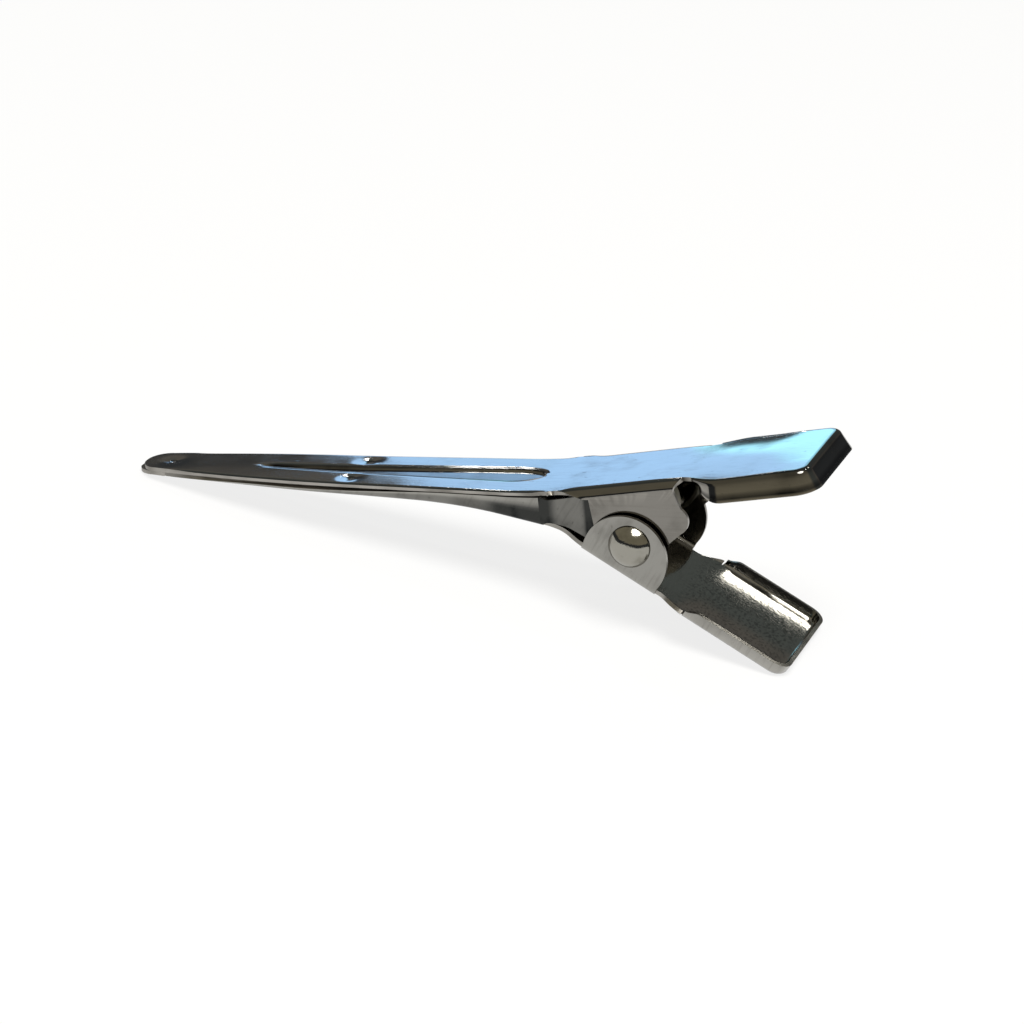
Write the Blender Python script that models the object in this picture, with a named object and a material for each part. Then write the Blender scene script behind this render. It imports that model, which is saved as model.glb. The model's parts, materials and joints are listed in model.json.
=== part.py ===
"""Sectioning clip: two pressed levers on a riveted pin, held shut by a strip spring.

The clip is drawn with the pivot axis along Y through the origin, the beak towards -X and the handles
towards +X. At the end it is stood on the tip of its lower jaw and the end of its lower tray.
"""
import math

import bmesh
import bpy
from mathutils import Vector

# Sheet and running clearances, in metres
SHEET = 0.00032
JAW_GAP = 0.00012
EAR_GAP = 0.00031
PIN_GAP = 0.00007
HEAD_GAP = 0.00006
SPRING_GAP = 0.00015
SLIT = 0.00025
WALL_INSET = 0.00012
NOSE_INSET = 0.0003

# Rivet
PIN_RADIUS = 0.00085
HEAD_RADIUS = 0.00168
HEAD_HEIGHT = 0.00092

# Upper lever: distances behind the pivot are positive, in front of it negative
UPPER_TILT = math.radians(7.7)
UPPER_RISE = 0.00463
UPPER_BEND_BACK = 0.0072
UPPER_BEND_RADIUS = 0.045
BEAK_REACH = 0.0350
BOW_REACH = 0.0160
BOW_ANGLE = math.radians(0.65)
BOW_RADIUS = 0.600
BEAK_HALF = 0.00410
BEAK_TAPER = 0.0394
NOSE_LENGTH = 0.0162
NOSE_NARROWING = 0.00112
TIP_ROUND = 0.0016
LIP_FRONT = -0.0060
EAR_FRONT = -0.00273
EAR_HALF = 0.00450
EAR_BEND = 0.00085
EAR_FOOT_RADIUS = 0.00180
EAR_SHIN = 0.0011
LOBE_CENTRE = (0.00415, 0.00145)
LOBE_RADIUS = 0.00090
NOTCH_FRONT = 0.00480
NOTCH_REAR = 0.00558
NOTCH_SPREAD = 0.00070
FLARE_REAR = 0.0080
UPPER_TRAY_HALF = 0.0058
UPPER_TRAY_BEND = 0.0006
UPPER_RIM_ANGLE = math.radians(68)
UPPER_TRAY_DEPTH = 0.0017
UPPER_TRAY_END = 0.0156

# Pressed groove along the beak
GROOVE_FRONT = -0.0328
GROOVE_WIDEST = -0.0104
GROOVE_REAR = -0.0076
GROOVE_HALF = 0.00135
GROOVE_FLOOR_SHARE = 0.40
GROOVE_DEPTH = 0.00030

# Lower lever
LOWER_DROOP = math.radians(32.5)
LOWER_DROP = 0.00256
KNEE_BACK = 0.00495
KNEE_RADIUS = 0.0030
CHIN_SLOPE = math.radians(11.2)
CHIN_LENGTH = 0.0089
CHIN_RADIUS = 0.045
TIP_OVERHANG = 0.0005
WALL_FRONT = -0.0225
WALL_REAR = -0.0068
WALL_BEND = 0.00046
TAIL_REAR_X = -0.0026
TAIL_TUCK = 0.00045
FLAP_RADIUS = 0.00337
FLAP_CENTRE = (0.0001, -0.0011)
FLAP_BEND = 0.0007
NECK_HALF = 0.0044
NECK_BEND = 0.00085
NECK_ANGLE = math.radians(50)
NECK_REAR = 0.0058
LOWER_TRAY_FRONT = 0.0061
LOWER_TRAY_HALF = 0.00555
LOWER_TRAY_BEND = 0.00055
LOWER_RIM_ANGLE = math.radians(84)
LOWER_TRAY_DEPTH = 0.00108
LOWER_TRAY_END = 0.01495

# Spring strip
SPRING_THICK = 0.0003
SPRING_HALF = 0.0019
SPRING_RADIUS = 0.0026
SPRING_ARM = 0.0022

# Smoothness of the drawn curves
BEND_STEPS = 4
CORNER_STEPS = 4
RING_STEPS = 28

QUARTER_TURN = math.pi / 2
HOLE_RADIUS = PIN_RADIUS + PIN_GAP
FLAP_HALF = EAR_HALF + EAR_GAP + SHEET


def ramp(value, start, end):
    """Smooth rise from 0 at start to 1 at end."""
    share = min(max((value - start) / (end - start), 0.0), 1.0)
    return share * share * (3 - 2 * share)


def spread(start, end, count):
    """Evenly spaced values from start to end, both included."""
    return [start + (end - start) * step / count for step in range(count + 1)]


def pointing(angle):
    return Vector((math.cos(angle), math.sin(angle)))


def make_path(corners, radii):
    """Straight runs through the corners with each inner corner rounded: (start, heading, curvature, length)."""
    pieces = []
    start = corners[0]
    for before, corner, after, radius in zip(corners, corners[1:], corners[2:], radii):
        arrive = math.atan2(corner.y - before.y, corner.x - before.x)
        leave = math.atan2(after.y - corner.y, after.x - corner.x)
        turn = leave - arrive
        trim = radius * math.tan(abs(turn) / 2)
        arc_start = corner - trim * pointing(arrive)
        pieces.append((start, arrive, 0.0, (arc_start - start).length))
        pieces.append((arc_start, arrive, math.copysign(1 / radius, turn), radius * abs(turn)))
        start = corner + trim * pointing(leave)
    run = corners[-1] - start
    pieces.append((start, math.atan2(run.y, run.x), 0.0, run.length))
    return pieces


def path_length(path):
    return sum(piece[3] for piece in path)


def path_at(path, distance):
    """Point and heading at a distance along a path, which runs on straight past both ends."""
    for piece in path[:-1]:
        if distance <= piece[3]:
            break
        distance -= piece[3]
    else:
        piece = path[-1]
    start, heading, curvature, _ = piece
    turned = heading + curvature * distance
    if curvature == 0.0:
        return start + distance * pointing(heading), heading
    swing = Vector((math.sin(turned) - math.sin(heading), math.cos(heading) - math.cos(turned)))
    return start + swing / curvature, turned


def path_over(path, x):
    """Point and heading where a path that never turns back passes x."""
    distance = x - path[0][0].x
    for _ in range(6):
        place, heading = path_at(path, distance)
        distance += (x - place.x) / math.cos(heading)
    return path_at(path, distance)


# Side view of both levers: the outer faces of their plates
upper_back = pointing(UPPER_TILT)
upper_foot = pointing(UPPER_TILT + QUARTER_TURN) * UPPER_RISE
upper_bend = upper_foot - upper_back * UPPER_BEND_BACK
bow_corner = upper_bend - Vector((BOW_REACH, 0))
upper_tip = bow_corner - pointing(-BOW_ANGLE) * (BEAK_REACH - BOW_REACH)
upper_path = make_path(
    [upper_tip, bow_corner, upper_bend, upper_foot + upper_back * UPPER_TRAY_END],
    [BOW_RADIUS, UPPER_BEND_RADIUS],
)
upper_start = UPPER_TRAY_END - path_length(upper_path)

lower_back = pointing(-LOWER_DROOP)
lower_foot = -pointing(QUARTER_TURN - LOWER_DROOP) * LOWER_DROP
knee = lower_foot - lower_back * KNEE_BACK
chin = knee - pointing(-CHIN_SLOPE) * CHIN_LENGTH
lower_tip = upper_tip - Vector((TIP_OVERHANG, 2 * SHEET + JAW_GAP))
lower_path = make_path(
    [lower_tip, chin, knee, lower_foot + lower_back * LOWER_TRAY_END],
    [CHIN_RADIUS, KNEE_RADIUS],
)
lower_start = LOWER_TRAY_END - path_length(lower_path)


def beak_half(x):
    """Half-width of the beak: a straight taper that narrows faster over the nose."""
    nose = max(upper_tip.x + NOSE_LENGTH - x, 0.0) / NOSE_LENGTH
    return BEAK_HALF + BEAK_TAPER * (x - LIP_FRONT) - NOSE_NARROWING * nose * nose


def rim_reach(radius, angle, depth):
    """How far a folded rim of some depth stands out from the edge of its plate."""
    return radius * math.sin(angle) + (depth - radius * (1 - math.cos(angle))) / math.tan(angle)


UPPER_RIM_REACH = rim_reach(UPPER_TRAY_BEND, UPPER_RIM_ANGLE, UPPER_TRAY_DEPTH)
LOWER_RIM_REACH = rim_reach(LOWER_TRAY_BEND, LOWER_RIM_ANGLE, LOWER_TRAY_DEPTH)


def jaw_ceiling(x):
    """Height that the walls of the lower jaw reach under the upper plate at x."""
    return path_over(upper_path, x)[0].y - SHEET - JAW_GAP


class Pressing:
    """One folded sheet, drawn as the half of its outer face on the -Y side, then mirrored and thickened."""

    def __init__(self, path, start, inward):
        self.mesh = bmesh.new()
        self.path = path
        self.start = start
        self.inward = inward

    def spot(self, x, side, z):
        return self.mesh.verts.new((x, -side, z))

    def point(self, along, side, depth):
        """Vertex at a distance behind the pivot, out to the side and in from the outer face."""
        place, heading = path_at(self.path, along - self.start)
        inward = pointing(heading + self.inward * QUARTER_TURN)
        return self.spot(place.x + inward.x * depth, side, place.y + inward.y * depth)

    def fold(self, along, side, radius, angle, flange=None, towards=QUARTER_TURN, skew=0.0):
        """Row of vertices from a plate edge around a bend to the free edge of its flange."""
        row = []
        for step in range(BEND_STEPS + 1):
            turned = angle * step / BEND_STEPS
            out = radius * math.sin(turned)
            shift = skew * math.sin(QUARTER_TURN * step / BEND_STEPS)
            row.append(self.point(along + shift + out * math.cos(towards), side + out * math.sin(towards),
                                  radius * (1 - math.cos(turned))))
        if flange is not None:
            out += flange * math.cos(angle)
            row.append(self.point(along + shift + out * math.cos(towards), side + out * math.sin(towards),
                                  radius * (1 - math.cos(angle)) + flange * math.sin(angle)))
        return row

    def skin(self, rows):
        for row, following in zip(rows, rows[1:]):
            for corners in zip(row, row[1:], following[1:], following):
                self.mesh.faces.new(corners)

    def tray_rim(self, stations, end_sides, half, radius, angle, depth, skew):
        """Rim along the side, around the rear corner and across the rear end of a finger tray."""
        flange = (depth - radius * (1 - math.cos(angle))) / math.sin(angle)
        reach = rim_reach(radius, angle, depth)
        rows = [self.fold(stations[0], half(stations[0]) - reach, radius, angle, flange, skew=skew)]
        for along in stations[1:]:
            rows.append(self.fold(along, half(along) - reach, radius, angle, flange))
        for towards in spread(QUARTER_TURN, 0.0, CORNER_STEPS)[1:]:
            rows.append(self.fold(stations[-1], half(stations[-1]) - reach, radius, angle, flange, towards))
        for side in end_sides:
            rows.append(self.fold(stations[-1], side, radius, angle, flange, 0.0))
        self.skin(rows)

    def pierced_flap(self, outline, side, drop):
        """Flat flap between the pin hole and an outline of (along, above the pivot)."""
        rim = []
        hole = []
        for along, above in outline:
            reach = math.hypot(along, above)
            shrink = HOLE_RADIUS / reach
            rim.append(self.point(along, side, drop + self.inward * above))
            hole.append(self.point(along * shrink, side, drop + self.inward * above * shrink))
        self.skin([rim + rim[:1], hole + hole[:1]])

    def finish(self, name, material):
        mesh = self.mesh
        everything = mesh.verts[:] + mesh.edges[:] + mesh.faces[:]
        bmesh.ops.mirror(mesh, geom=everything, axis="Y", merge_dist=0.000001)
        bmesh.ops.remove_doubles(mesh, verts=mesh.verts, dist=0.000001)
        bmesh.ops.recalc_face_normals(mesh, faces=mesh.faces)
        mesh.normal_update()
        widest = max(mesh.faces, key=lambda face: face.calc_area() * abs(face.normal.z))
        if widest.normal.z * self.inward > 0:
            bmesh.ops.reverse_faces(mesh, faces=mesh.faces)
        piece = make_object(name, mesh, material)
        thickness = piece.modifiers.new("sheet", "SOLIDIFY")
        thickness.thickness = SHEET
        thickness.offset = -1.0
        thickness.use_even_offset = True
        return piece


def make_material(name, colour, roughness):
    material = bpy.data.materials.new(name)
    material.use_nodes = True
    shader = material.node_tree.nodes["Principled BSDF"]
    shader.inputs["Base Color"].default_value = (*colour, 1.0)
    shader.inputs["Roughness"].default_value = roughness
    shader.inputs["Metallic"].default_value = 1.0
    return material


def make_object(name, mesh, material):
    data = bpy.data.meshes.new(name)
    for face in mesh.faces:
        face.smooth = True
    mesh.to_mesh(data)
    mesh.free()
    data.materials.append(material)
    piece = bpy.data.objects.new(name, data)
    bpy.context.collection.objects.link(piece)
    return piece


def tip_rows(press, half):
    """Rounded front end of a jaw, as (along, half-width) stations."""
    shoulder = half(press.start + TIP_ROUND)
    stations = []
    for angle in spread(math.radians(12), QUARTER_TURN, 4):
        stations.append((press.start + TIP_ROUND * (1 - math.cos(angle)), shoulder * math.sin(angle)))
    return stations


def build_upper_lever(material):
    press = Pressing(upper_path, upper_start, -1)

    def outer_half(along):
        x = path_at(upper_path, along - upper_start)[0].x
        ear = beak_half(x) + (EAR_HALF - beak_half(x)) * ramp(along, LIP_FRONT, EAR_FRONT)
        return ear + (UPPER_TRAY_HALF - EAR_HALF) * ramp(along, NOTCH_FRONT, FLARE_REAR)

    def lip_angle(along):
        return QUARTER_TURN * ramp(along, LIP_FRONT, EAR_FRONT)

    def groove(along):
        """Half-width and depth of the groove: it widens along the beak and ends round."""
        if not GROOVE_FRONT + SHEET < along < GROOVE_REAR - SHEET:
            return GROOVE_HALF * 0.6, 0.0
        width = GROOVE_HALF * (along - GROOVE_FRONT) / (GROOVE_WIDEST - GROOVE_FRONT)
        past = max(along - GROOVE_WIDEST, 0.0) / (GROOVE_REAR - GROOVE_WIDEST)
        return min(width, GROOVE_HALF) * math.sqrt(1 - past * past), GROOVE_DEPTH * min(1.0, width / GROOVE_HALF * 2)

    tray_flat_end = UPPER_TRAY_END - UPPER_RIM_REACH
    lip = spread(LIP_FRONT, EAR_FRONT, 4)
    ear = spread(EAR_FRONT, NOTCH_FRONT, 4)
    tray = spread(NOTCH_REAR, FLARE_REAR, 3) + spread(FLARE_REAR, tray_flat_end, 3)[1:]

    stations = tip_rows(press, outer_half)
    beak = spread(press.start + TIP_ROUND, GROOVE_FRONT, 3)[1:]
    beak += spread(GROOVE_FRONT, GROOVE_WIDEST, 7)[1:]
    beak += spread(GROOVE_WIDEST, GROOVE_REAR, 3)[1:]
    stations += [(along, outer_half(along)) for along in beak + [(GROOVE_REAR + LIP_FRONT) / 2]]
    stations += [(along, outer_half(along) - EAR_BEND * math.sin(lip_angle(along))) for along in lip + ear[1:]]
    stations += [(along, outer_half(along) - UPPER_RIM_REACH) for along in tray]

    rows = []
    for along, half in stations:
        lip_half, depth = groove(along)
        lip_half = min(lip_half, half * 0.6)
        floor_half = lip_half * GROOVE_FLOOR_SHARE
        rows.append([press.point(along, 0.0, depth), press.point(along, floor_half, depth),
                     press.point(along, lip_half, 0.0), press.point(along, half, 0.0)])
    press.skin(rows)

    bend = []
    for along in lip + ear[1:]:
        angle = lip_angle(along)
        skew = -NOTCH_SPREAD if along == ear[-1] else 0.0
        bend.append(press.fold(along, outer_half(along) - EAR_BEND * math.sin(angle), EAR_BEND, angle, skew=skew))
    press.skin(bend)

    fold_line = UPPER_RISE - EAR_BEND
    outline = [(NOTCH_FRONT - NOTCH_SPREAD, fold_line)]
    outline += [(along, fold_line) for along in reversed(ear[:-1])]
    outline.append((EAR_FRONT, EAR_SHIN))
    for angle in spread(math.radians(190), math.radians(310), 6):
        outline.append(pointing(angle) * EAR_FOOT_RADIUS)
    lobe = [Vector(LOBE_CENTRE) + pointing(angle) * LOBE_RADIUS
            for angle in spread(math.radians(-50), math.radians(95), 6)]
    outline.append(outline[-1].lerp(lobe[0], 0.4))
    outline += lobe
    press.pierced_flap(outline, EAR_HALF, UPPER_RISE)

    last_lip = min(groove(tray_flat_end)[0], outer_half(tray_flat_end) * 0.6)
    end_sides = [last_lip, last_lip * GROOVE_FLOOR_SHARE, 0.0]
    press.tray_rim(tray, end_sides, outer_half, UPPER_TRAY_BEND, UPPER_RIM_ANGLE, UPPER_TRAY_DEPTH, NOTCH_SPREAD)
    return press.finish("upper_lever", material)


def build_lower_lever(material):
    press = Pressing(lower_path, lower_start, 1)

    def jaw_half(along):
        x = path_at(lower_path, along - lower_start)[0].x
        nose = max(upper_tip.x + NOSE_LENGTH - x, 0.0) / NOSE_LENGTH
        return beak_half(x) - WALL_INSET - NOSE_INSET * min(nose, 1.0)

    def wall(along):
        """Straight part of the side wall, so that it ends just under the upper plate."""
        place, heading = path_at(lower_path, along - lower_start)
        height = (jaw_ceiling(place.x) - place.y) * math.cos(heading)
        return max(height - WALL_BEND, SHEET / 8)

    def neck_half(along):
        return NECK_HALF + (LOWER_TRAY_HALF - NECK_HALF) * ramp(along, neck[0], LOWER_TRAY_FRONT)

    def neck_angle(along):
        return NECK_ANGLE * ramp(along, neck[0], NECK_REAR)

    fold_above = FLAP_BEND - LOWER_DROP
    chord = math.sqrt(FLAP_RADIUS ** 2 - (fold_above - FLAP_CENTRE[1]) ** 2)
    flap = spread(FLAP_CENTRE[0] - chord, FLAP_CENTRE[0] + chord, 6)
    tray_flat_end = LOWER_TRAY_END - LOWER_RIM_REACH
    tray = spread(LOWER_TRAY_FRONT, tray_flat_end, 4)
    neck = spread(flap[-1] + SHEET, NECK_REAR, 4)
    walls = spread(WALL_FRONT, WALL_REAR, 7)

    stations = tip_rows(press, jaw_half)
    stations += [(along, jaw_half(along)) for along in spread(press.start + TIP_ROUND, WALL_FRONT - SHEET, 4)[1:]]
    stations += [(along, jaw_half(along) - WALL_BEND) for along in walls]
    flare_half = FLAP_HALF - FLAP_BEND
    for along in spread(WALL_REAR, flap[0], 5)[1:-1]:
        share = ramp(along, WALL_REAR, flap[0])
        stations.append((along, stations[-1][1] + (flare_half - stations[-1][1]) * share))
    stations += [(along, flare_half) for along in flap]
    stations += [(along, neck_half(along) - NECK_BEND * math.sin(neck_angle(along))) for along in neck]
    stations += [(along, LOWER_TRAY_HALF - LOWER_RIM_REACH) for along in tray]
    press.skin([[press.point(along, half * share, 0.0) for share in (0.0, 0.5, 1.0)] for along, half in stations])

    rows = [press.fold(along, jaw_half(along) - WALL_BEND, WALL_BEND, QUARTER_TURN, wall(along)) for along in walls]
    press.skin(rows)

    tail = [rows[-1][-2:]]
    wall_end = path_at(lower_path, WALL_REAR - lower_start)[0].x
    for x in spread(wall_end, TAIL_REAR_X, 6)[1:]:
        side = jaw_half(WALL_REAR) - TAIL_TUCK * ramp(x, wall_end, EAR_FRONT)
        place, heading = path_over(lower_path, x)
        floor = place.y + SHEET / math.cos(heading)
        tail.append([press.spot(x, side, floor + SLIT), press.spot(x, side, jaw_ceiling(x) - SLIT)])
    press.skin(tail)

    press.skin([press.fold(along, flare_half, FLAP_BEND, QUARTER_TURN) for along in flap])
    outline = [(along, fold_above) for along in reversed(flap)]
    side_angle = math.asin((fold_above - FLAP_CENTRE[1]) / FLAP_RADIUS)
    for angle in spread(math.pi - side_angle, side_angle, 14)[1:-1]:
        outline.append(Vector(FLAP_CENTRE) + pointing(angle) * FLAP_RADIUS)
    press.pierced_flap(outline, FLAP_HALF, LOWER_DROP)

    press.skin([press.fold(along, neck_half(along) - NECK_BEND * math.sin(neck_angle(along)), NECK_BEND,
                           neck_angle(along)) for along in neck])

    edge = LOWER_TRAY_HALF - LOWER_RIM_REACH
    press.tray_rim(tray, [edge / 2, 0.0], lambda along: LOWER_TRAY_HALF, LOWER_TRAY_BEND, LOWER_RIM_ANGLE,
                   LOWER_TRAY_DEPTH, SLIT)
    return press.finish("lower_lever", material)


def build_spring(material):
    """Strip bent to a C, tangent to a line just inside each plate."""
    inset = SHEET + SPRING_GAP + SPRING_THICK / 2
    lower_up = pointing(QUARTER_TURN - LOWER_DROOP)
    upper_up = pointing(QUARTER_TURN + UPPER_TILT)
    below = SPRING_RADIUS - (LOWER_DROP - inset)
    above = UPPER_RISE - inset - SPRING_RADIUS
    twist = lower_up.x * upper_up.y - lower_up.y * upper_up.x
    centre = Vector((below * upper_up.y - above * lower_up.y, above * lower_up.x - below * upper_up.x)) / twist
    turn = math.pi + UPPER_TILT + LOWER_DROOP
    curve = [(centre - lower_up * SPRING_RADIUS - lower_back * SPRING_ARM, -LOWER_DROOP)]
    for heading in spread(-LOWER_DROOP, turn - LOWER_DROOP, 16):
        curve.append((centre + pointing(heading - QUARTER_TURN) * SPRING_RADIUS, heading))
    curve.append((centre + upper_up * SPRING_RADIUS - upper_back * SPRING_ARM, turn - LOWER_DROOP))

    mesh = bmesh.new()
    rings = []
    for place, heading in curve:
        across = pointing(heading + QUARTER_TURN) * SPRING_THICK / 2
        rings.append([mesh.verts.new((place.x + sign * across.x, side * SPRING_HALF, place.y + sign * across.y))
                      for sign, side in ((1, -1), (1, 1), (-1, 1), (-1, -1))])
    for ring, following in zip(rings, rings[1:]):
        for step in range(4):
            mesh.faces.new((ring[step - 1], ring[step], following[step], following[step - 1]))
    mesh.faces.new(rings[0])
    mesh.faces.new(rings[-1])
    bmesh.ops.recalc_face_normals(mesh, faces=mesh.faces)
    return make_object("spring", mesh, material)


def build_rivet(material):
    """Pin with a domed head at each end, turned about Y."""
    seat = FLAP_HALF + HEAD_GAP
    dome_radius = (HEAD_RADIUS ** 2 + HEAD_HEIGHT ** 2) / (2 * HEAD_HEIGHT)
    dome_centre = seat + HEAD_HEIGHT - dome_radius
    rim_angle = math.atan2(HEAD_RADIUS, seat - dome_centre)
    profile = [(PIN_RADIUS, seat)]
    for angle in spread(rim_angle, 0.0, 5)[:-1]:
        profile.append((dome_radius * math.sin(angle), dome_centre + dome_radius * math.cos(angle)))
    profile = [(radius, -along) for radius, along in reversed(profile)] + profile

    mesh = bmesh.new()
    rings = []
    for radius, along in profile:
        rings.append([mesh.verts.new((radius * math.cos(angle), along, radius * math.sin(angle)))
                      for angle in spread(0.0, 2 * math.pi, RING_STEPS)[:-1]])
    for ring, following in zip(rings, rings[1:]):
        for step in range(RING_STEPS):
            mesh.faces.new((ring[step - 1], ring[step], following[step], following[step - 1]))
    for ring, along in ((rings[0], -seat - HEAD_HEIGHT), (rings[-1], seat + HEAD_HEIGHT)):
        pole = mesh.verts.new((0.0, along, 0.0))
        for step in range(RING_STEPS):
            mesh.faces.new((ring[step - 1], ring[step], pole))
    bmesh.ops.recalc_face_normals(mesh, faces=mesh.faces)
    return make_object("pivot_rivet", mesh, material)


def stand_angle():
    """Turn that brings the tip of the lower jaw and the rear bend of the lower tray onto one level."""
    bend = lower_foot + lower_back * (LOWER_TRAY_END - LOWER_RIM_REACH)
    bend += pointing(QUARTER_TURN - LOWER_DROOP) * LOWER_TRAY_BEND
    run = bend - lower_tip
    return math.asin(LOWER_TRAY_BEND / run.length) - math.atan2(run.y, run.x)


for old in list(bpy.data.objects):
    bpy.data.objects.remove(old)

nickel = make_material("nickel_plate", (0.66, 0.61, 0.53), 0.18)
worn_nickel = make_material("nickel_plate_lower", (0.64, 0.60, 0.53), 0.22)
spring_steel = make_material("spring_steel", (0.36, 0.35, 0.33), 0.35)
rivet_steel = make_material("rivet_steel", (0.68, 0.66, 0.62), 0.22)

stand = bpy.data.objects.new("clip_stand", None)
bpy.context.collection.objects.link(stand)
pieces = [
    build_upper_lever(nickel),
    build_lower_lever(worn_nickel),
    build_spring(spring_steel),
    build_rivet(rivet_steel),
]
for piece in pieces:
    piece.parent = stand
stand.rotation_euler = (0.0, -stand_angle(), 0.0)

# Stand the clip on the floor with the middle of its outline over the origin
bpy.context.view_layer.update()
corners = []
graph = bpy.context.evaluated_depsgraph_get()
for piece in pieces:
    shaped = piece.evaluated_get(graph)
    corners += [shaped.matrix_world @ vertex.co for vertex in shaped.data.vertices]
lowest = [min(corner[axis] for corner in corners) for axis in range(3)]
highest = [max(corner[axis] for corner in corners) for axis in range(3)]
stand.location = (-(lowest[0] + highest[0]) / 2, -(lowest[1] + highest[1]) / 2, -lowest[2])
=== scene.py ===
import json
import math

import bmesh
import bpy
from mathutils import Matrix, Vector


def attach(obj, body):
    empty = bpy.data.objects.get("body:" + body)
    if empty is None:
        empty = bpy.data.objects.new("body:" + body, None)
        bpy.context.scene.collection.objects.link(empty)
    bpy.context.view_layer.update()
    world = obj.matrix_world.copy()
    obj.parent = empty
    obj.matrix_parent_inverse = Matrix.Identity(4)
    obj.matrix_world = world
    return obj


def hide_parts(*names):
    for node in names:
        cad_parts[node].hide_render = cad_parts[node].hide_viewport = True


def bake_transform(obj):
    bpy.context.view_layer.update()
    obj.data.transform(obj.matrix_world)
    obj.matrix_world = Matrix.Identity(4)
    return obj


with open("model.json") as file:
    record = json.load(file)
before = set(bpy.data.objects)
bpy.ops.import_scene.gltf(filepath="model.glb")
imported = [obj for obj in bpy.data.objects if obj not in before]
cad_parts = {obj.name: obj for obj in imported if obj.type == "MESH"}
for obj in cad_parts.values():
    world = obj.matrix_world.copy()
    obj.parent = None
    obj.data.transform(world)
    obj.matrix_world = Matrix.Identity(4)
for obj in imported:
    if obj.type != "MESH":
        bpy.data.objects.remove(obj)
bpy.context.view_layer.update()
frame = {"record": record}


# Upper lever: beak, pivot ears and thumb tray in one pressing of thin steel sheet, nickel plated all over.
# The groove and the three dimples are struck in from above, and the ears and the rim are folded down.
# It turns on the rivet, which passes through both of its ears.
SHEET = 0.00032
QUARTER_TURN = math.pi / 2
PLATE_PITCH = 0.00024
BEND_STEPS = 7
FLANGE_STEPS = 6
CORNER_STEPS = 10
FLAP_RINGS = 4
EDGE_ROUND = 0.00005
EDGE_SEGMENTS = 2
SHARP_EDGE = math.radians(50)
JOIN_DISTANCE = 0.000001
STAND_ANGLE = math.radians(13.516541)
pivot = Vector(frame["record"]["behaviour"]["joints"][0]["pos_m"])
stand = Matrix.Translation(pivot) @ Matrix.Rotation(-STAND_ANGLE, 4, "Y")

# Outline and folds. Distances along a lever count from the pivot, with the beak in front of it.
PIN_HOLE = 0.00092
UPPER_TILT = math.radians(7.7)
UPPER_RISE = 0.00463
UPPER_BEND_BACK = 0.0072
UPPER_BEND_RADIUS = 0.045
BEAK_REACH = 0.0350
BOW_REACH = 0.0160
BOW_ANGLE = math.radians(0.65)
BOW_RADIUS = 0.600
BEAK_HALF = 0.00410
BEAK_TAPER = 0.0394
NOSE_LENGTH = 0.0162
NOSE_NARROWING = 0.00112
TIP_ROUND = 0.0016
TIP_FIRST_ANGLE = math.radians(10)
TIP_STEPS = 16
LIP_FRONT = -0.0060
EAR_FRONT = -0.00273
EAR_HALF = 0.00450
EAR_BEND = 0.00085
EAR_FOOT_RADIUS = 0.00180
EAR_FOOT_ARC = (math.radians(190), math.radians(310))
EAR_FOOT_STEPS = 24
EAR_SHIN = 0.0011
EAR_SHIN_STEPS = 10
EAR_HEEL_STEPS = 4
EAR_BACK_STEPS = 6
LOBE_CENTRE = Vector((0.00370, 0.00145))
LOBE_RADIUS = 0.00112
LOBE_ARC = (math.radians(-70), math.radians(48))
LOBE_STEPS = 20
NOTCH_FRONT = 0.00480
NOTCH_REAR = 0.00558
NOTCH_SPREAD = 0.00070
NOTCH_EASE = 0.0020
FLARE_REAR = 0.0080
UPPER_TRAY_HALF = 0.0058
UPPER_TRAY_ROLL = (0.0030, math.radians(2))
UPPER_TRAY_BEND = (0.0005, math.radians(66))
UPPER_TRAY_DEPTH = 0.0017
RIM_RISE = 0.0007
RIM_FULL = 0.0080
UPPER_TRAY_END = 0.0156
CROWN = 1.2
TRAY_CROWN = 6.5
SWELL_RISE = (0.0020, 0.0065)
SWELL_FALL = (0.0090, 0.0130)
TRAY_CORNER = 0.0007

# Groove, rolled edges, and columns of the plate over the groove's floor and wall, the face and the edge.
GROOVE_FRONT = -0.0355
GROOVE_WIDEST = -0.0104
GROOVE_REAR = -0.0076
GROOVE_HALF = 0.00135
GROOVE_LEAST = 0.00016
GROOVE_FLOOR_SHARE = 0.74
GROOVE_DEPTH = 0.00020
GROOVE_LINE = 0.00024
GROOVE_SHOULDER = 0.00050
GROOVE_DIP = 0.00004
GROOVE_FADE_SHARE = 0.2
GROOVE_MOST_SHARE = 0.5
GROOVE_END_ROWS = 30
EDGE_ROLL = 0.00030
EDGE_DROP = 0.00008
ROLL_EASE_FRONT = 0.0040
ROLL_EASE_REAR = 0.0015
PLATE_COLUMNS = [3, 7, 30, 4]

# Each dimple: distance along, distance to the side, depth of its dish and depth of the punch's cup in it.
DIMPLES = [(-0.03985, 0.0, 0.00008, 0.000035), (-0.02335, 0.0019, 0.00009, 0.00013)]
DISH_RADIUS = 0.00075
DISH_REACH = 0.0015
PUNCH_RADIUS = 0.00029
# Inner and outer reach of the painted dark ring around each punch's cup.
PUNCH_RING_INNER = PUNCH_RADIUS * 0.55
PUNCH_RING_OUTER = PUNCH_RADIUS * 1.4
DIMPLE_ROWS = [10, 12, 10]

# Painted shade and painted reflections, as darkness in the plating's colour: stops of (share of the way
# around a fold, darkness), or one darkness for a face. The rim is left light at its free edge, as a painted
# highlight.
DARK_RIM = [(0.0, 0.15), (0.3, 0.60), (0.4, 0.75), (0.7, 0.72), (0.76, 0.42), (0.88, 0.36),
            (0.91, 0.92), (0.95, 0.92), (1.0, 0.0)]
DARK_EAR_BEND = [(0.0, 0.25), (0.3, 0.60), (0.8, 0.60), (1.0, 0.40)]
DARK_EAR = 0.52
DARK_GROOVE_LINE = 0.9
DARK_GROOVE_FLOOR = 0.6
DARK_ROLL = 0.8
DARK_PUNCH_RING = 0.9


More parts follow.
